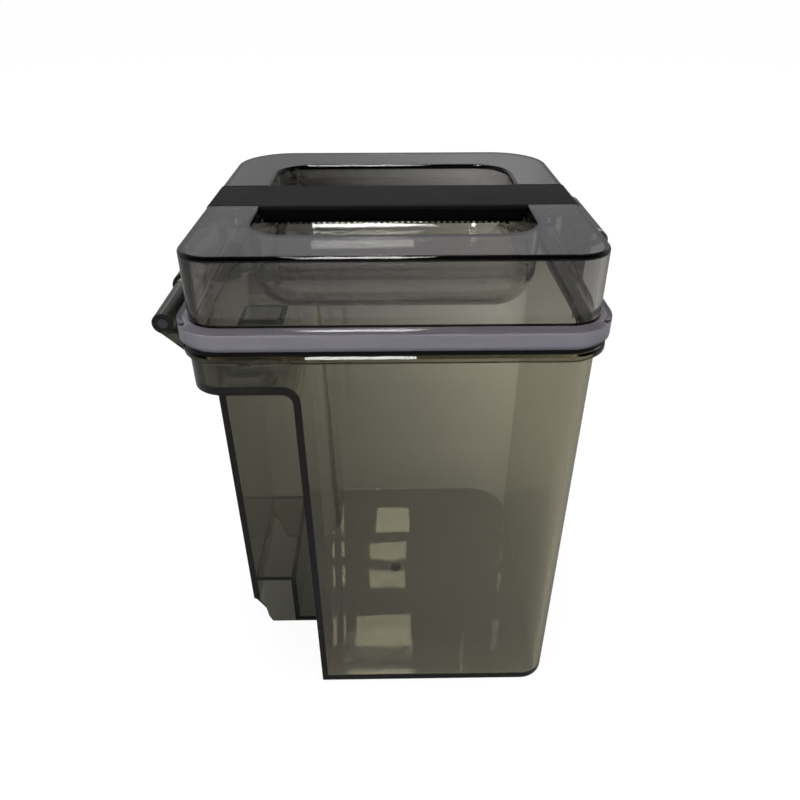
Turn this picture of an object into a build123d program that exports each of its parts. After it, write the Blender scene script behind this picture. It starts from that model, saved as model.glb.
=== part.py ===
from build123d import *
from math import radians, tan
import os

# Dirty water tank of a robot vacuum's dock: a smoky clear tank with a hinged, latched lid.
# Millimetres. +Z is up, the hinge is on the -X side, and the origin is the middle of the base.

# Plan of the lid, which the tank, its rim and the gasket follow
lid_width = 158.0
lid_depth = 162.0
front_corner_radius = 14.0
rear_corner_radius = 26.0
wall = 2.5

# Heights
tank_height = 196.3
rim_thickness = 3.3
seal_gap = 0.3
gasket_thickness = 2.4
skirt_height = 9.0
lid_height = 35.0

# How far the rim, the skirt and the gasket stand out from the plan
rim_overhang = 3.5
skirt_overhang = 4.5
gasket_overhang = 3.0
gasket_inner_step = 1.7

# Groove in the skirt, with the gasket's short tongue at its mouth
groove_width = 2.2
groove_depth = 6.3
tongue_height = 1.6
tongue_gap = 0.1

# Edge rounding
lid_edge_round = 1.5
skirt_edge_round = 1.6
skirt_bevel = 0.8
rim_bevel = 0.8
base_round = 1.5
cavity_round = 0.6

# Tank walls and the two corner notches on the hinge side
tank_wall = 2.8
tank_draft = 0.43
hinge_wall_reach = 1.8
notch_width = 40.0
shoulder_height = 18.3
front_notch_depth = 41.0
front_notch_draft = 0.43
front_notch_round = 4.5
rear_notch_depth = 48.0
rear_notch_draft = 1.8
rear_notch_round = 9.5

# Shelf and open pocket at the foot of the tongue between the notches
shelf_height = 35.0
shelf_round = 2.0
pocket_width = 21.0
leg_inset = 11.0
leg_height = 20.0
leg_shoulder = 2.2
leg_waist = 7.3
leg_waist_height = 12.0
leg_heel = 8.3
leg_heel_height = 5.0
leg_round = 3.0

# Mark of the moulding gate on the floor
gate_radius = 2.8
gate_height = 0.5

# Ports in the notch ceilings, with an elbow and a seal in each
port_side_offset = 19.5
port_end_offset = 20.5
port_gap = 0.1
elbow_outer_radius = 10.4
elbow_bore_radius = 8.4
elbow_height = 23.5
elbow_flange_radius = 14.0
elbow_wall = 2.0
drum_height = 5.0
spigot_drop = 4.0
hood_back = 1.5
hood_reach = 16.5
hood_width = 18.0
hood_round = 2.5
seal_bore_radius = 7.0
seal_flange_height = 2.0
seal_sleeve_height = 5.0

# Hand well in the lid
well_width = 113.4
well_length = 108.0
well_y = -2.0
well_depth = 32.5
well_corner = 16.0
well_draft = 3.0
well_round = 15.0
well_wall = 2.2
lip_round = 1.2

# Handle bar let into the lid's top
bar_width = 32.0
bar_y = -3.0
cover_thickness = 1.8
cover_round = 0.8
base_plate_thickness = 2.2
grip_depth = 8.0
grip_round = 3.0
bar_gap = 0.2
grip_end_gap = 0.5
rib_pitch = 2.6
rib_width = 1.3
rib_depth = 0.8
rib_margin = 4.0

# Screws that hold the bar, two at each end
screw_edge_offset = 11.0
screw_spread = 18.0
screw_head_radius = 2.8
screw_head_height = 1.6
screw_shank_radius = 1.4
screw_length = 8.0
screw_gap = 0.05
screw_tip_gap = 0.3
boss_radius = 3.6
boss_floor = 1.2

# Hinge
hinge_offset = 13.5
hinge_pin_radius = 2.0
barrel_radius = 4.4
barrel_inner_end = 22.0
barrel_length = 38.0
knuckle_radius = 6.1
knuckle_end_gap = 0.4
knuckle_arm_thickness = 3.4
hinge_web_thickness = 2.2
gusset_thickness = 3.0
gusset_drop = 12.0
gusset_lead = 3.5
pin_press_gap = 0.02
pin_running_gap = 0.06

# Latch on the side away from the hinge
latch_offset = 8.0
latch_drop = 13.5
latch_width = 44.0
latch_barrel_radius = 4.2
latch_pin_radius = 1.5
latch_thickness = 3.0
latch_skirt_gap = 1.2
latch_tail = 8.0
latch_lip_reach = 4.0
hook_reach = 1.9
hook_height = 3.2
hook_gap = 0.3
hook_width = 12.0
hook_spacing = 26.0
ear_thickness = 4.0
ear_gap = 0.4

# Places worked out from the sizes above
hinge_side = -lid_width / 2
latch_side = lid_width / 2
front = -lid_depth / 2
rear = lid_depth / 2
skirt_bottom = tank_height + seal_gap + gasket_thickness
skirt_top = skirt_bottom + skirt_height
lid_top = skirt_bottom + lid_height
rim_bottom = tank_height - rim_thickness
notch_ceiling = tank_height - shoulder_height
elbow_top = notch_ceiling + tank_wall + elbow_height
tank_hinge_side = hinge_side - hinge_wall_reach
notch_x = hinge_side + notch_width
front_notch_y = front + front_notch_depth
rear_notch_y = rear - rear_notch_depth
pocket_x = hinge_side + pocket_width
port_x = hinge_side + port_side_offset
hinge_x = hinge_side - hinge_offset
hinge_z = skirt_bottom
latch_x = latch_side + latch_offset
latch_z = lid_top - latch_drop
bar_recess = cover_thickness + base_plate_thickness
screw_seat = lid_top - cover_thickness - screw_head_height - screw_gap
screw_hole_end = screw_seat - screw_length - screw_tip_gap
past = 1.0  # how far a cutter runs past the face that it opens


def plan(inset, hinge_reach=0.0):
    """Plan of the lid, moved in by the inset, or out where it is negative, and out at the hinge side."""
    width = lid_width - 2 * inset + hinge_reach
    outline = Pos(-hinge_reach / 2, 0) * Rectangle(width, lid_depth - 2 * inset)
    outline = fillet(outline.vertices().group_by(Axis.Y)[0], front_corner_radius - inset)
    return fillet(outline.vertices().group_by(Axis.Y)[-1], rear_corner_radius - inset)


def slab(shape, bottom, top):
    """Upright prism of a flat shape between two heights."""
    return extrude(Pos(0, 0, bottom) * shape, amount=top - bottom, dir=(0, 0, 1))


def ring(outer_inset, inner_inset, bottom, top):
    """Frame that follows the plan between two insets."""
    return slab(plan(outer_inset), bottom, top) - slab(plan(inner_inset), bottom - past, top + past)


def across(shape, start, end):
    """Prism of a shape drawn in X and Z, running in Y from start to end."""
    side = Plane((0, end, 0), x_dir=(1, 0, 0), z_dir=(0, -1, 0))
    return extrude(side * shape, amount=end - start, dir=(0, -1, 0))


def rod(x, z, radius, start, end):
    """Round bar along Y."""
    return across(Pos(x, z) * Circle(radius), start, end)


def block(x, y, z):
    """Box between pairs of limits."""
    size = [high - low for low, high in (x, y, z)]
    return Pos(x[0], y[0], z[0]) * Box(*size, align=Align.MIN)


def top_edges(solid):
    return solid.faces().sort_by(Axis.Z)[-1].edges()


def bottom_edges(solid):
    return solid.faces().sort_by(Axis.Z)[0].edges()


def round_corner(solid, point, radius):
    """Round the edges that meet at the corner nearest to a point."""
    corner = solid.vertices().sort_by_distance(point)[0]
    meeting = [edge for edge in solid.edges() if edge.distance_to(corner) < 0.001]
    return fillet(meeting, radius)


def notch(side, edge_y, draft, radius, grow):
    """Space of a corner notch: side is -1 at the front and 1 at the rear."""
    reach = tank_wall + lid_width / 4
    x_limits = (hinge_side - reach, notch_x + grow)
    y_limits = sorted((edge_y - side * grow, side * (rear + reach)))
    width = x_limits[1] - x_limits[0]
    depth = y_limits[1] - y_limits[0]
    middle = Pos(sum(x_limits) / 2, sum(y_limits) / 2, -past)
    top = notch_ceiling + grow
    space = extrude(middle * Rectangle(width, depth), amount=top + past, taper=draft)
    return round_corner(space, (x_limits[1], edge_y - side * grow, top), radius + grow)


def tank_form(inset, edge_radius):
    """Outer form of the tank, or its inside when inset by the wall."""
    outline = Pos(0, 0, tank_height) * plan(inset, hinge_wall_reach)
    form = extrude(outline, amount=tank_height - inset, dir=(0, 0, -1), taper=tank_draft)
    form -= notch(-1, front_notch_y, front_notch_draft, front_notch_round, inset)
    form -= notch(1, rear_notch_y, rear_notch_draft, rear_notch_round, inset)
    return fillet(bottom_edges(form), edge_radius)


def tank_cavity():
    """Inside of the tank, stepped up over the pocket."""
    step_corner = (pocket_x + tank_wall, rear_notch_y, shelf_height)
    step = block((tank_hinge_side, step_corner[0]), (front, step_corner[1]), (-past, shelf_height))
    return tank_form(tank_wall, cavity_round) - round_corner(step, step_corner, shelf_round)


def tongue_pocket():
    """Open space under the shelf, and the cut that leaves the tongue on its legs."""
    lean = tank_height * tan(radians(tank_draft))
    tongue = (front_notch_y + tank_wall, rear_notch_y - tank_wall)
    inner_face = tank_hinge_side + lean + tank_wall
    under = block((inner_face, pocket_x), tongue, (-past, shelf_height - tank_wall))
    far = tank_hinge_side - tank_wall
    foot = tank_hinge_side + leg_inset
    corners = [
        (far, leg_height),
        (tank_hinge_side + leg_shoulder, leg_height),
        (tank_hinge_side + leg_waist, leg_waist_height),
        (tank_hinge_side + leg_heel, leg_heel_height),
        (foot, -past),
    ]
    outline = FilletPolyline(*corners, radius=leg_round)
    outline += Polyline((foot, -past), (far, -past), (far, leg_height))
    return under + across(make_face(outline), front_notch_y - tank_wall, rear_notch_y + tank_wall)


def hinge_barrels():
    """The tank's two barrels, each on a web from the rim and a gusset at either end."""
    web_top = tank_height - seal_gap
    root = tank_hinge_side + tank_wall / 2
    web = block((hinge_x, root), (0, barrel_length), (web_top - hinge_web_thickness, web_top))
    gusset = Polygon(
        (hinge_x - gusset_lead, hinge_z - barrel_radius / 2),
        (hinge_x, web_top - hinge_web_thickness / 2),
        (root, web_top - hinge_web_thickness / 2),
        (root, rim_bottom - gusset_drop),
        align=None,
    )
    body = rod(hinge_x, hinge_z, barrel_radius, 0, barrel_length) + web
    body += across(gusset, 0, gusset_thickness)
    body += across(gusset, barrel_length - gusset_thickness, barrel_length)
    body -= rod(hinge_x, hinge_z, hinge_pin_radius + pin_press_gap, -past, barrel_length + past)
    return Pos(0, barrel_inner_end, 0) * body + Pos(0, -barrel_inner_end - barrel_length, 0) * body


def port_places():
    """Middles of the front and rear ports, on the notch ceiling."""
    return [(port_x, front + port_end_offset), (port_x, rear - port_end_offset)]


def make_tank_body():
    rim = slab(plan(-rim_overhang), rim_bottom, tank_height)
    rim = chamfer(top_edges(rim) + bottom_edges(rim), rim_bevel)
    body = tank_form(0, base_round) + rim + hinge_barrels()
    body -= tank_cavity()
    body -= tongue_pocket()
    for x, y in port_places():
        body -= Pos(x, y, notch_ceiling) * Cylinder(elbow_outer_radius + port_gap, 3 * tank_wall)
    body += slab(Circle(gate_radius), tank_wall - gate_height, tank_wall + gate_height)
    return body


def make_elbow():
    """Hood over a port at the origin: a spigot down through the ceiling, a drum, and a mouth to +X."""
    floor = notch_ceiling + tank_wall
    half = hood_width / 2
    hood = block((-hood_back, hood_reach), (-half, half), (floor, elbow_top))
    back = hood.faces().sort_by(Axis.X)[0].edges().filter_by(Axis.Z)
    hood = fillet(back + top_edges(hood), hood_round)
    hood += slab(Circle(elbow_outer_radius), notch_ceiling - spigot_drop, floor + drum_height)
    hood += slab(Circle(elbow_flange_radius), floor, floor + elbow_wall)
    inner = half - elbow_wall
    lengthwise = (elbow_wall - hood_back, hood_reach + past)
    hood -= block(lengthwise, (-inner, inner), (floor + elbow_wall, elbow_top - elbow_wall))
    bore_top = floor + drum_height - elbow_wall
    return hood - slab(Circle(elbow_bore_radius), notch_ceiling - spigot_drop - past, bore_top)


def make_port_seal():
    """Rubber grommet pushed up into the spigot, with a flange below it."""
    mouth = notch_ceiling - spigot_drop
    sleeve = slab(Circle(elbow_bore_radius - port_gap), mouth, mouth + seal_sleeve_height)
    flange = slab(Circle(elbow_outer_radius), mouth - seal_flange_height, mouth)
    hole = slab(Circle(seal_bore_radius), mouth - seal_flange_height - past, lid_top)
    return sleeve + flange - hole


def well_form(grow):
    """The hand well's inside, or its outside when grown by its wall."""
    mouth = Plane((0, well_y, lid_top), x_dir=(1, 0, 0), z_dir=(0, 0, -1))
    outline = RectangleRounded(well_width + 2 * grow, well_length + 2 * grow, well_corner + grow)
    form = extrude(mouth * outline, amount=well_depth + grow, taper=well_draft)
    return fillet(bottom_edges(form), well_round + grow)


def screw_places():
    """Middles of the bar's four screws."""
    x = latch_side - screw_edge_offset
    y = screw_spread / 2
    return [(i * x, bar_y + j * y) for i in (-1, 1) for j in (-1, 1)]


def hinge_knuckle():
    """The lid's knuckle round the pin, with an arm from its top to the skirt."""
    run = hinge_side - hinge_x + wall / 2
    arm = Pos(run / 2, knuckle_radius - knuckle_arm_thickness / 2) * Rectangle(run, knuckle_arm_thickness)
    eye = Circle(knuckle_radius) - Circle(hinge_pin_radius + pin_running_gap)
    end = barrel_inner_end - knuckle_end_gap
    bored_arm = arm - Circle(hinge_pin_radius + pin_running_gap)
    return across(Pos(hinge_x, hinge_z) * (eye + bored_arm), -end, end)


def latch_ears():
    """Two ears on the lid's wall that carry the latch pin."""
    arm = Pos(latch_x - latch_offset / 2 - wall / 4, latch_z)
    profile = arm * Rectangle(latch_offset + wall / 2, 2 * latch_barrel_radius)
    profile += Pos(latch_x, latch_z) * Circle(latch_barrel_radius)
    profile -= Pos(latch_x, latch_z) * Circle(latch_pin_radius + pin_press_gap)
    start = latch_width / 2 + ear_gap
    ear = across(profile, start, start + ear_thickness)
    return ear + mirror(ear, about=Plane.XZ)


def make_lid_shell():
    cover = slab(plan(0), skirt_bottom, lid_top)
    cover = fillet(top_edges(cover), lid_edge_round)
    skirt = slab(plan(-skirt_overhang), skirt_bottom, skirt_top)
    skirt = fillet(top_edges(skirt), skirt_edge_round)
    skirt = chamfer(bottom_edges(skirt), skirt_bevel)
    shell = cover + skirt + hinge_knuckle() + latch_ears()
    shell -= slab(plan(wall), skirt_bottom - past, lid_top - wall)
    shell -= ring(-groove_width, 0, skirt_bottom - past, skirt_bottom + groove_depth)
    tray_width = 2 * (bar_width / 2 + bar_gap + wall)
    tray_bottom = lid_top - bar_recess - wall
    shell += slab(Pos(0, bar_y) * Rectangle(lid_width - wall, tray_width), tray_bottom, lid_top - wall / 2)
    for x, y in screw_places():
        shell += slab(Pos(x, y) * Circle(boss_radius), screw_hole_end - boss_floor, tray_bottom + past)
    shell += well_form(well_wall)
    shell -= well_form(0)
    mouth = shell.faces().sort_by(Axis.Z)[-1].inner_wires()[0]
    shell = fillet(mouth.edges(), lip_round)
    seat = Pos(0, bar_y) * Rectangle(lid_width + 2 * past, bar_width + 2 * bar_gap)
    shell -= slab(seat, lid_top - bar_recess, lid_top + past)
    for x, y in screw_places():
        shell -= slab(Pos(x, y) * Circle(screw_shank_radius + screw_gap), screw_hole_end, lid_top)
    return shell


def make_lid_gasket():
    """Flat ring on the rim, with a tongue up into the skirt's groove."""
    flat = ring(-gasket_overhang, gasket_inner_step, tank_height + seal_gap, skirt_bottom)
    tongue = ring(tongue_gap - groove_width, -tongue_gap, skirt_bottom, skirt_bottom + tongue_height)
    return flat + tongue


def make_handle_cover():
    bottom = lid_top - cover_thickness
    cover = slab(Pos(0, bar_y) * Rectangle(lid_width, bar_width), bottom, lid_top)
    return fillet(top_edges(cover), cover_round)


def make_handle_base():
    top = lid_top - cover_thickness
    plate = slab(Pos(0, bar_y) * Rectangle(lid_width, bar_width), top - base_plate_thickness, top)
    bottom = lid_top - grip_depth
    well_lean = grip_depth * tan(radians(well_draft))
    half = well_width / 2 - well_lean - grip_end_gap
    grip = slab(Pos(0, bar_y) * Rectangle(2 * half, bar_width), bottom, top)
    grip = fillet(bottom_edges(grip).filter_by(Axis.X), grip_round)
    rib_length = bar_width - 2 * grip_round
    rib_count = int((2 * half - 2 * rib_margin) / rib_pitch)
    places = GridLocations(rib_pitch, 1, rib_count, 1)
    ribs = Sketch() + [place * Rectangle(rib_width, rib_length) for place in places]
    base = plate + grip + slab(Pos(0, bar_y) * ribs, bottom - rib_depth, bottom + rib_depth)
    for x, y in screw_places():
        base -= slab(Pos(x, y) * Circle(screw_head_radius + screw_gap), screw_seat, lid_top)
        base -= slab(Pos(x, y) * Circle(screw_shank_radius + screw_gap), bottom, lid_top)
    return base


def make_handle_screws():
    head = slab(Circle(screw_head_radius), screw_seat, screw_seat + screw_head_height)
    drive = RegularPolygon(screw_shank_radius, 6)
    screw = head + slab(Circle(screw_shank_radius), screw_seat - screw_length, screw_seat)
    screw -= slab(drive, screw_seat + screw_head_height / 3, lid_top)
    return Compound(children=[Pos(x, y) * screw for x, y in screw_places()])


def make_hinge_pin():
    end = barrel_inner_end + barrel_length
    return rod(hinge_x, hinge_z, hinge_pin_radius, -end, end)


def make_latch_pin():
    end = latch_width / 2 + ear_gap + ear_thickness
    return rod(latch_x, latch_z, latch_pin_radius, -end, end)


def make_latch_flap():
    """Flap that hangs outside the skirt, with two hooks under the rim and a finger lip below."""
    inner = latch_side + skirt_overhang + latch_skirt_gap
    outer = inner + latch_thickness
    hook_top = rim_bottom - hook_gap
    hook_bottom = hook_top - hook_height
    tail = hook_bottom - latch_tail
    profile = Polygon(
        (inner, latch_z),
        (outer, latch_z),
        (outer, hook_bottom),
        (outer + latch_lip_reach, tail + latch_thickness / 2),
        (outer + latch_lip_reach - latch_thickness / 2, tail),
        (inner, hook_bottom - latch_thickness / 2),
        align=None,
    )
    profile += Pos(latch_x, latch_z) * Circle(latch_barrel_radius)
    profile -= Pos(latch_x, latch_z) * Circle(latch_pin_radius + pin_running_gap)
    flap = across(profile, -latch_width / 2, latch_width / 2)
    tip = latch_side + rim_overhang - hook_reach
    hook = Polygon((inner + past, hook_top), (tip, hook_top), (inner + past, hook_bottom), align=None)
    for y in (-hook_spacing / 2, hook_spacing / 2):
        flap += across(hook, y - hook_width / 2, y + hook_width / 2)
    return flap


front_port, rear_port = port_places()
pieces = {
    "tank_body": make_tank_body(),
    "inlet_elbow": Pos(*front_port) * make_elbow(),
    "air_elbow": Pos(*rear_port) * make_elbow(),
    "inlet_seal": Pos(*front_port) * make_port_seal(),
    "air_seal": Pos(*rear_port) * make_port_seal(),
    "hinge_pin": make_hinge_pin(),
    "lid_shell": make_lid_shell(),
    "lid_gasket": make_lid_gasket(),
    "handle_cover": make_handle_cover(),
    "handle_base": make_handle_base(),
    "handle_screws": make_handle_screws(),
    "latch_flap": make_latch_flap(),
    "latch_pin": make_latch_pin(),
}

os.makedirs("parts", exist_ok=True)
for name, piece in pieces.items():
    export_step(piece, f"parts/{name}.step")
    print(name, round(piece.volume))
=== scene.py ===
import math

import bpy
import numpy as np
from mathutils import Matrix, Vector


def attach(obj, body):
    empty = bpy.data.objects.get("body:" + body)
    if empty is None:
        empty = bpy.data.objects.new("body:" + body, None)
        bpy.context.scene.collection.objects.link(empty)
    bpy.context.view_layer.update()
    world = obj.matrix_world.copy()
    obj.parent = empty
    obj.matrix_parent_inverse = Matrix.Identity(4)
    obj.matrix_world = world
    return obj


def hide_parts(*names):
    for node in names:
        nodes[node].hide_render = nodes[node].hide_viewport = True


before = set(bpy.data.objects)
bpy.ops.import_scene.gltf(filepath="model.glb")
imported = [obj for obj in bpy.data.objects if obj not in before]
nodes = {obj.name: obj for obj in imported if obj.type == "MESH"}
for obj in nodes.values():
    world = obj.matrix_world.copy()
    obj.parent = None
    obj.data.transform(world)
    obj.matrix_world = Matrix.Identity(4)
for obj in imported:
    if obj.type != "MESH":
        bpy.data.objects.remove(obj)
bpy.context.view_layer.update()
scene = bpy.context.scene
print("frame loaded:", len(nodes), "nodes")


# an output socket of a node tree; arithmetic on it adds Math nodes
class Wire:
    def __init__(self, tree, socket=None):
        self.tree = tree
        self.socket = socket

    # any other node: its settings go first, then a value or a link for each input
    def node(self, kind, settings, values, out=0):
        made = self.tree.nodes.new(kind)
        for name, value in settings.items():
            setattr(made, name, value)
        for name, value in values.items():
            if isinstance(value, Wire):
                self.tree.links.new(value.socket, made.inputs[name])
            else:
                made.inputs[name].default_value = value
        return Wire(self.tree, made.outputs[out] if made.outputs else None)

    def maths(self, operation, first, second):
        return self.node("ShaderNodeMath", {"operation": operation}, {0: first, 1: second})

    def __add__(self, other):
        return self.maths("ADD", self, other)

    def __sub__(self, other):
        return self.maths("SUBTRACT", self, other)

    def __rsub__(self, other):
        return self.maths("SUBTRACT", other, self)

    def __mul__(self, other):
        return self.maths("MULTIPLY", self, other)

    __radd__ = __add__
    __rmul__ = __mul__


# an empty node tree, on a material or on the world
def startTree(made):
    made.use_nodes = True
    made.node_tree.nodes.clear()
    return Wire(made.node_tree)


# a new material, its tree, and the place on the piece in metres
def startMaterial(name):
    made = bpy.data.materials.new(name)
    wire = startTree(made)
    return made, wire, wire.node("ShaderNodeTexCoord", {}, {}, out="Object")


def endMaterial(wire, surface, volume=None):
    ends = {"Surface": surface}
    if volume:
        ends["Volume"] = volume
    wire.node("ShaderNodeOutputMaterial", {}, ends)


# detail and roughness of each kind of noise, and the middle of its range
noiseKinds = {"ripple": (1.0, 0.5), "smudge": (4.0, 0.6), "grain": (3.0, 0.6), "cloud": (3.0, 0.55),
              "paper": (2.0, 0.5)}
noiseMiddle = 0.5


def noise(place, scale, kind):
    detail, rough = noiseKinds[kind]
    return place.node("ShaderNodeTexNoise", {}, {
        "Vector": place, "Scale": scale, "Detail": detail, "Roughness": rough})


def relief(height, strength, depth):
    return height.node("ShaderNodeBump", {}, {"Strength": strength, "Distance": depth, "Height": height})


def blendColours(factor, first, second):
    return factor.node("ShaderNodeMix", {"data_type": "RGBA"}, {0: factor, 6: first, 7: second}, out=2)


# one coordinate of a place or a direction
def coordinate(place, axis):
    return place.node("ShaderNodeSeparateXYZ", {}, {0: place}, out=axis)


# goes from low to high while the value goes from start to end, and stays level outside them
def ramp(value, start, end, low=0.0, high=1.0, shape="LINEAR"):
    return value.node("ShaderNodeMapRange", {"interpolation_type": shape}, {
        "Value": value, "From Min": start, "From Max": end, "To Min": low, "To Max": high})


# polished see-through plastic: faint ripples and smudges on the skin, even absorption inside
def smokePlastic(name, look):
    made, wire, place = startMaterial(name)
    ripple = noise(place, look["rippleScale"], "ripple")
    smudge = noise(place, look["smudgeScale"], "smudge")
    surface = wire.node("ShaderNodeBsdfPrincipled", {}, {
        "Base Color": blendColours(smudge, look["skinLight"], look["skinDark"]),
        "Roughness": look["roughness"] + smudge * look["smudge"], "IOR": look["ior"],
        "Transmission Weight": 1.0, "Normal": relief(ripple, look["rippleStrength"], look["rippleDepth"])})
    volume = wire.node("ShaderNodeVolumeAbsorption", {}, {
        "Color": look["tint"], "Density": look["density"]})
    endMaterial(wire, surface, volume)
    return made


# moulded plastic or rubber: a fine grain, and slow changes of shade and gloss
def mouldedPlastic(name, look):
    made, wire, place = startMaterial(name)
    grain = noise(place, look["grainScale"], "grain")
    cloud = noise(place, look["cloudScale"], "cloud")
    surface = wire.node("ShaderNodeBsdfPrincipled", {}, {
        "Base Color": blendColours(cloud, look["light"], look["dark"]),
        "Roughness": look["roughness"] + (cloud - noiseMiddle) * look["glossChange"],
        "Specular IOR Level": look["specular"], "Metallic": look["metallic"],
        "Normal": relief(grain, look["grainStrength"], look["grainDepth"])})
    endMaterial(wire, surface)
    return made


def dress(nodeNames, material):
    for name in nodeNames:
        mesh = nodes[name].data
        mesh.materials.clear()
        mesh.materials.append(material)


# a new piece with its place in its mesh: the points of a grid, and the faces between them
def addPiece(name, points, faces, material):
    mesh = bpy.data.meshes.new(name)
    mesh.from_pydata(points.reshape(-1, 3).tolist(), [], faces)
    mesh.materials.append(material)
    made = bpy.data.objects.new(name, mesh)
    scene.collection.objects.link(made)
    return made


tankLook = {"rippleScale": 14.0, "rippleStrength": 0.25, "rippleDepth": 0.0006, "smudgeScale": 30.0,
            "skinLight": (1.0, 1.0, 1.0, 1.0), "skinDark": (0.95, 0.95, 0.94, 1.0), "roughness": 0.005,
            "smudge": 0.02, "ior": 1.5, "tint": (0.4, 0.365, 0.16, 1.0), "density": 258.0}
dress(["tank_body"], smokePlastic("tankSmoke", tankLook))

lidLook = {"rippleScale": 16.0, "rippleStrength": 0.05, "rippleDepth": 0.0005, "smudgeScale": 34.0,
           "skinLight": (1.0, 1.0, 1.0, 1.0), "skinDark": (0.95, 0.95, 0.96, 1.0), "roughness": 0.005,
           "smudge": 0.02, "ior": 1.5, "tint": (0.39, 0.37, 0.32, 1.0), "density": 252.0}
dress(["lid_shell"], smokePlastic("lidSmoke", lidLook))

elbowLook = {"rippleScale": 40.0, "rippleStrength": 0.2, "rippleDepth": 0.0004, "smudgeScale": 80.0,
             "skinLight": (1.0, 1.0, 1.0, 1.0), "skinDark": (0.94, 0.94, 0.94, 1.0), "roughness": 0.01,
             "smudge": 0.02, "ior": 1.5, "tint": (0.3, 0.3, 0.3, 1.0), "density": 140.0}
dress(["inlet_elbow", "air_elbow"], smokePlastic("elbowSmoke", elbowLook))
print("clear plastics done")

coverLook = {"grainScale": 2600.0, "grainStrength": 0.35, "grainDepth": 0.00012, "cloudScale": 22.0,
             "light": (0.008, 0.008, 0.0082, 1.0), "dark": (0.005, 0.005, 0.0052, 1.0), "roughness": 0.5,
             "glossChange": 0.12, "specular": 0.08, "metallic": 0.0}
dress(["handle_cover"], mouldedPlastic("coverCharcoal", coverLook))

# the grip's black is partly painted shade: darker than the cover, so that the bar's front face looks shaded
gripLook = {"grainScale": 1800.0, "grainStrength": 0.3, "grainDepth": 0.00012, "cloudScale": 30.0,
            "light": (0.003, 0.003, 0.003, 1.0), "dark": (0.0015, 0.0015, 0.0015, 1.0), "roughness": 0.55,
            "glossChange": 0.15, "specular": 0.04, "metallic": 0.0}
dress(["handle_base"], mouldedPlastic("gripBlackAndShade", gripLook))

sealLook = {"grainScale": 900.0, "grainStrength": 0.3, "grainDepth": 0.0001, "cloudScale": 60.0,
            "light": (0.02, 0.02, 0.02, 1.0), "dark": (0.01, 0.01, 0.01, 1.0), "roughness": 0.62,
            "glossChange": 0.2, "specular": 0.35, "metallic": 0.0}
dress(["inlet_seal", "air_seal"], mouldedPlastic("sealRubber", sealLook))

pinLook = {"grainScale": 1500.0, "grainStrength": 0.15, "grainDepth": 0.00008, "cloudScale": 70.0,
           "light": (0.03, 0.03, 0.032, 1.0), "dark": (0.02, 0.02, 0.021, 1.0), "roughness": 0.3,
           "glossChange": 0.12, "specular": 0.5, "metallic": 0.0}
dress(["hinge_pin"], mouldedPlastic("pinPlastic", pinLook))

latchLook = {"grainScale": 1600.0, "grainStrength": 0.25, "grainDepth": 0.0001, "cloudScale": 45.0,
             "light": (0.05, 0.05, 0.053, 1.0), "dark": (0.038, 0.038, 0.04, 1.0), "roughness": 0.42,
             "glossChange": 0.14, "specular": 0.4, "metallic": 0.0}
dress(["latch_flap"], mouldedPlastic("latchGrey", latchLook))

steelLook = {"grainScale": 2200.0, "grainStrength": 0.2, "grainDepth": 0.00006, "cloudScale": 160.0,
             "light": (0.62, 0.62, 0.61, 1.0), "dark": (0.5, 0.5, 0.49, 1.0), "roughness": 0.3,
             "glossChange": 0.15, "specular": 0.5, "metallic": 1.0}
dress(["handle_screws", "latch_pin"], mouldedPlastic("screwSteel", steelLook))
print("solid plastics and metal done")


# two-colour silicone: a black lip below, partly painted shade for the shadow in the gap under the skirt, and
# a pale tongue above it
def gasketSilicone(name, look):
    made, wire, place = startMaterial(name)
    grain = noise(place, look["grainScale"], "grain")
    cloud = noise(place, look["cloudScale"], "cloud")
    height = coordinate(place, "Z") + (cloud - noiseMiddle) * look["waver"]
    # below the seam the colour is the black lip, partly painted shade
    tongue = ramp(height, look["seam"] - look["fade"], look["seam"] + look["fade"])
    pale = blendColours(cloud, look["light"], look["dark"])
    surface = wire.node("ShaderNodeBsdfPrincipled", {}, {
        "Base Color": blendColours(tongue, look["lip"], pale),
        "Roughness": look["roughness"] + cloud * look["glossChange"], "Specular IOR Level": look["specular"],
        "Normal": relief(grain, look["grainStrength"], look["grainDepth"])})
    endMaterial(wire, surface)
    return made


# in metres; the tongue is a hair larger than the skirt's groove, so that the silicone meets the plastic with
# no air between them
gasketLook = {"halfWidth": 0.079, "halfDepth": 0.081, "frontRound": 0.014, "rearRound": 0.026,
              "arcSteps": 24, "inner": -0.0017, "outer": 0.003, "tongueInner": -0.00005,
              "tongueOuter": 0.00225, "bottom": 0.1966, "shoulder": 0.19905, "top": 0.20535,
              "bevel": 0.0003, "grainScale": 700.0, "grainStrength": 0.2, "grainDepth": 0.0001,
              "cloudScale": 40.0, "light": (0.67, 0.66, 0.8, 1.0), "dark": (0.6, 0.59, 0.72, 1.0),
              "lip": (0.002, 0.002, 0.0025, 1.0), "seam": 0.199, "fade": 0.0002, "waver": 0.0002,
              "roughness": 0.4, "glossChange": 0.1, "specular": 0.15}


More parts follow.
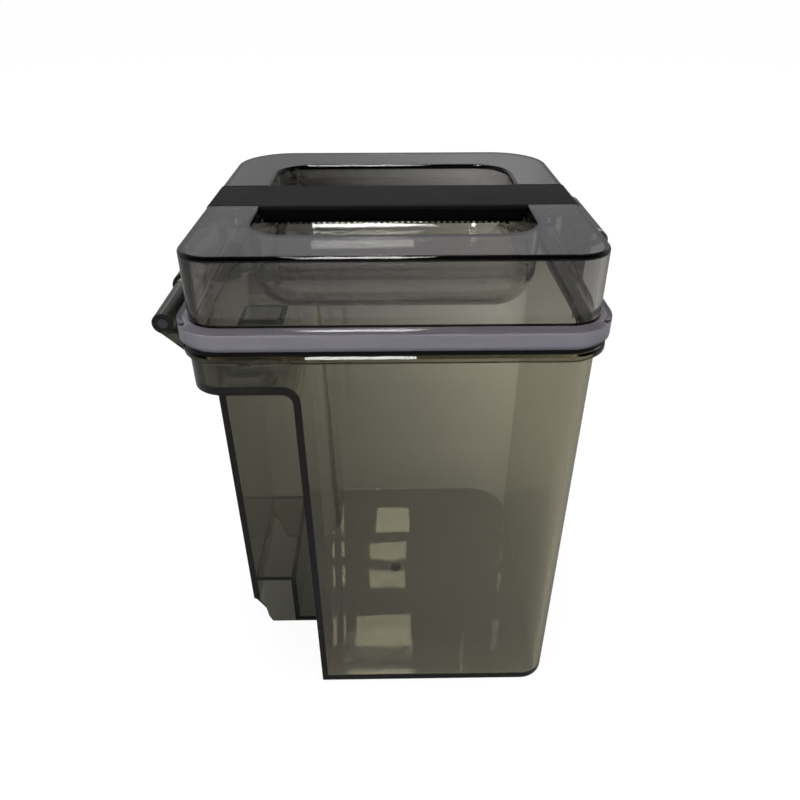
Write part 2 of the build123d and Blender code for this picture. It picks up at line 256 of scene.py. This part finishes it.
# profile along a path: each corner is an arc round its centre, the straight sides join the arcs, and a
# profile point at reach d and height z lies at the arc's radius plus d from that centre
def gasketShape(look):
    quarter = np.linspace(0, np.pi / 2, look["arcSteps"])
    turns = np.concatenate([quarter + start for start in (0, np.pi / 2, np.pi, np.pi * 1.5)])
    rounds = np.repeat([look["rearRound"]] * 2 + [look["frontRound"]] * 2, look["arcSteps"])
    centreX = np.repeat([1, -1, -1, 1], look["arcSteps"]) * (look["halfWidth"] - rounds)
    centreY = np.repeat([1, 1, -1, -1], look["arcSteps"]) * (look["halfDepth"] - rounds)
    low, step, high, edge = look["bottom"], look["shoulder"], look["top"], look["bevel"]
    inner, outer = look["inner"], look["outer"]
    tongueInner, tongueOuter = look["tongueInner"], look["tongueOuter"]
    profile = np.array([
        (inner, low + edge), (inner + edge, low), (outer - edge, low), (outer, low + edge), (outer, step),
        (tongueOuter, step), (tongueOuter, high - edge), (tongueOuter - edge, high),
        (tongueInner + edge, high), (tongueInner, high - edge), (tongueInner, step), (inner, step)])
    reach = rounds[:, None] + profile[:, 0]
    points = np.stack([
        centreX[:, None] + reach * np.cos(turns)[:, None], centreY[:, None] + reach * np.sin(turns)[:, None],
        np.broadcast_to(profile[:, 1], reach.shape)], -1)
    number = np.arange(reach.size).reshape(reach.shape)
    ahead, beside = np.roll(number, -1, 0), np.roll(number, -1, 1)
    faces = np.stack([number, ahead, np.roll(ahead, -1, 1), beside], -1).reshape(-1, 4)
    return points, faces.tolist()


gasket = addPiece("gasket", *gasketShape(gasketLook), gasketSilicone("gasketSilicone", gasketLook))
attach(gasket, "lid")
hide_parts("lid_gasket")
print("gasket done")

scarLook = {"radius": 0.0033, "middle": 0.0031, "rise": 0.0005, "rings": 9, "spokes": 40,
            "grainScale": 900.0, "grainStrength": 0.4, "grainDepth": 0.0001, "cloudScale": 300.0,
            "light": (0.05, 0.05, 0.04, 1.0), "dark": (0.03, 0.03, 0.025, 1.0), "roughness": 0.6,
            "glossChange": 0.2, "specular": 0.2, "metallic": 0.0}


# squashed ball: one angle climbs from under to top, its sine giving the radius and its cosine the height,
# and the other goes round
def scarShape(look):
    climb = np.linspace(0, np.pi, look["rings"] + 2)[1:-1, None]
    turn = np.linspace(0, 2 * np.pi, look["spokes"], endpoint=False)
    reach = look["radius"] * np.sin(climb)
    points = np.stack([reach * np.cos(turn), reach * np.sin(turn),
                       look["middle"] - look["rise"] * np.cos(climb) + turn * 0], -1)
    number = np.arange(look["rings"] * look["spokes"]).reshape(look["rings"], look["spokes"])
    beside = np.roll(number, -1, 1)
    faces = np.stack([number[:-1], beside[:-1], beside[1:], number[1:]], -1).reshape(-1, 4)
    caps = [number[0, ::-1].tolist(), number[-1].tolist()]
    return points, faces.tolist() + caps


gateScar = addPiece("gateScar", *scarShape(scarLook), mouldedPlastic("gateScar", scarLook))
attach(gateScar, "tank")
print("gate scar done")


# which rays meet the floor or the sky: from the camera, through clear plastic, or off a shiny skin
def rayKinds(wire):
    seen, through, glossy = [wire.node("ShaderNodeLightPath", {}, {}, out=name)
                             for name in ("Is Camera Ray", "Is Transmission Ray", "Is Glossy Ray")]
    return seen, through, glossy * (1 - through)


black = (0.0, 0.0, 0.0, 1.0)
white = (1.0, 1.0, 1.0, 1.0)

# in metres; the floor is white to the camera, and painted darker off a shiny skin; through the plastic it has
# painted shade, darker to the left and far behind as a stand-in for the tank's shadow and a dim room, and
# white in front
floorLook = {"half": 8.0, "drop": 0.0004, "steps": 9, "paperScale": 60.0, "light": (0.97, 0.97, 0.97, 1.0),
             "dark": (0.95, 0.95, 0.95, 1.0), "glowSeen": 0.9, "glowThrough": 0.4, "dimLeft": -0.21,
             "dimRight": 0.135, "leftShade": 0.035, "rightShade": 0.61, "dimCurve": 1.8,
             "frontStart": -0.05, "frontEnd": -0.15, "farStart": 0.3, "farEnd": 0.6, "farShade": 0.55,
             "mirrorShade": 0.25}


# flat square on a grid: x and y run evenly over the square, and z stays just under the tank
def floorShape(look):
    steps, half = look["steps"], look["half"]
    across, along = np.meshgrid(np.linspace(-half, half, steps), np.linspace(-half, half, steps))
    points = np.stack([across, along, across * 0 - look["drop"]], -1)
    corner = (np.arange(steps - 1)[:, None] * steps + np.arange(steps - 1)).ravel()
    faces = np.stack([corner, corner + 1, corner + steps + 1, corner + steps], -1)
    return points, faces.tolist()


# matt paper with a glow, so that the camera sees it white under the tank's shadow
def floorPaper(name, look):
    made, wire, place = startMaterial(name)
    seen, through, mirrored = rayKinds(wire)
    rightward = ramp(coordinate(place, "X"), look["dimLeft"], look["dimRight"])
    inFront = ramp(coordinate(place, "Y"), look["frontStart"], look["frontEnd"])
    farther = ramp(coordinate(place, "Y"), look["farStart"], look["farEnd"], 1.0, look["farShade"])
    curve = wire.maths("POWER", rightward, look["dimCurve"])
    # painted shade: the floor's colour is darkened here by place, not by any lamp
    paintedShade = look["leftShade"] + curve * (look["rightShade"] - look["leftShade"])
    paintedShade = paintedShade * farther + inFront * (1 - paintedShade)
    level = 1 - through * (1 - paintedShade) - mirrored * (1 - look["mirrorShade"])
    paper = blendColours(noise(place, look["paperScale"], "paper"), look["light"], look["dark"])
    matt = wire.node("ShaderNodeBsdfDiffuse", {}, {"Color": blendColours(level, black, paper)})
    glow = wire.node("ShaderNodeEmission", {}, {"Color": blendColours(level, black, white), "Strength": 1.0})
    endMaterial(wire, wire.node("ShaderNodeMixShader", {}, {
        0: seen * look["glowSeen"] + through * look["glowThrough"], 1: matt, 2: glow}))
    made.cycles.emission_sampling = "NONE"
    return made


floor = addPiece("floor", *floorShape(floorLook), floorPaper("floorPaper", floorLook))

# limits are shares of a unit direction; the sky is white to the camera; through the plastic it is dim
# overhead and to the sides, and white in front; off a shiny skin it is dim, most of all in front and overhead
skyLook = {"upperStart": 0.0, "upperEnd": 0.35, "upperShade": 0.1, "climbStart": 0.18, "climbEnd": 0.36,
           "climbLow": 0.75, "climbHigh": 1.3, "ceilingStart": 0.4, "ceilingEnd": 0.6, "ceilingShade": 0.3,
           "rearStart": -0.3, "rearEnd": 0.5, "frontShade": 0.05, "rearShade": 0.46, "openStart": 0.1,
           "openEnd": -0.3, "sideStart": 0.0, "sideEnd": 0.6, "sideShade": 0.15, "ambient": 0.95,
           "tint": (0.95, 0.93, 0.98, 1.0)}


def studioSky(name, look):
    made = bpy.data.worlds.new(name)
    sky = startTree(made)
    seen, through, mirrored = rayKinds(sky)
    heading = sky.node("ShaderNodeTexCoord", {}, {}, out="Generated")
    upward, toward = coordinate(heading, "Z"), coordinate(heading, "Y")
    sideways = sky.maths("ABSOLUTE", coordinate(heading, "X"), 0.0)
    upper = ramp(upward, look["upperStart"], look["upperEnd"], 1.0, look["upperShade"], "SMOOTHSTEP")
    climb = ramp(upward, look["climbStart"], look["climbEnd"], look["climbLow"], look["climbHigh"])
    ceiling = ramp(upward, look["ceilingStart"], look["ceilingEnd"], 1.0, look["ceilingShade"])
    rearward = ramp(toward, look["rearStart"], look["rearEnd"], look["frontShade"], look["rearShade"])
    inFront = ramp(toward, look["openStart"], look["openEnd"])
    central = ramp(sideways, look["sideStart"], look["sideEnd"], 1.0, look["sideShade"])
    beyond = upper * central * (1 - inFront) + inFront
    ambient = look["ambient"] * (1 - seen - through - mirrored)
    background = sky.node("ShaderNodeBackground", {}, {
        "Color": blendColours(through + mirrored, white, look["tint"]),
        "Strength": seen + through * beyond + mirrored * rearward * climb * ceiling + ambient})
    sky.node("ShaderNodeOutputWorld", {}, {"Surface": background})
    return made


scene.world = studioSky("studio", skyLook)

# lamps: middle, aim, width and height in metres, and brightness
lamps = {
    "ceilingFar": ((0.0, 2.277, 2.002), (0.0, 0.043, 0.0), 0.16, 0.12, 6.0),
    "ceilingMiddle": ((-0.021, 2.156, 2.088), (0.006, 0.0, 0.0), 0.168, 0.0715, 6.0),
    "ceilingInner": ((-0.03, 2.067, 2.176), (-0.003, 0.0, 0.0), 0.177, 0.08, 6.0),
    "ceilingNear": ((-0.046, 1.857, 2.312), (0.003, -0.05, 0.0), 0.254, 0.134, 6.0),
    "ceilingEdge": ((-0.057, 1.713, 2.412), (-0.008, -0.072, 0.0), 0.29, 0.1, 6.0),
    "window": ((-0.126, 2.755, 1.219), (-0.012, -0.067, 0.234), 0.47, 0.036, 0.55),
    "overhead": ((-0.1, -0.15, 2.2), (0.0, 0.0, 0.2), 0.4, 0.4, 24.0),
    "forward": ((-0.1, -1.05, 2.2), (0.0, 0.0, 0.2), 0.4, 1.0, 16.0),
}
for name, (middle, aim, width, height, brightness) in lamps.items():
    light = bpy.data.lights.new(name, "AREA")
    light.shape = "RECTANGLE"
    light.size, light.size_y = width, height
    light.energy = brightness * math.pi * width * height
    lamp = bpy.data.objects.new(name, light)
    lamp.location = middle
    lamp.rotation_mode = "QUATERNION"
    lamp.rotation_quaternion = (Vector(aim) - Vector(middle)).to_track_quat("-Z", "Y")
    scene.collection.objects.link(lamp)
print("floor, surroundings and", len(lamps), "lamps done")

# the photographer's place in metres, angles in radians, and the lens and sensor in millimetres
view = {"place": (-0.001766, -0.310708, 0.318855), "down": 0.5582, "turn": 0.015017, "roll": -0.0010546,
        "lens": 31.07, "sensor": 36.0, "nearest": 0.01}
forward = Vector((math.sin(view["turn"]) * math.cos(view["down"]),
                  math.cos(view["turn"]) * math.cos(view["down"]), -math.sin(view["down"])))
flatSide = Vector((math.cos(view["turn"]), -math.sin(view["turn"]), 0.0))
upright = flatSide.cross(forward)
side = flatSide * math.cos(view["roll"]) + upright * math.sin(view["roll"])
upright = upright * math.cos(view["roll"]) - flatSide * math.sin(view["roll"])
lens = bpy.data.cameras.new("camera")
lens.sensor_fit = "HORIZONTAL"
lens.sensor_width = view["sensor"]
lens.lens = view["lens"]
lens.clip_start = view["nearest"]
camera = bpy.data.objects.new("camera", lens)
turned = Matrix((side, upright, -forward)).transposed().to_4x4()
camera.matrix_world = Matrix.Translation(view["place"]) @ turned
scene.collection.objects.link(camera)
scene.camera = camera

scene.view_settings.view_transform = "Standard"
scene.cycles.max_bounces = 32  # light crosses many walls of clear plastic
scene.cycles.transmission_bounces = 32
scene.cycles.glossy_bounces = 12
scene.cycles.transparent_max_bounces = 16
print("camera done")
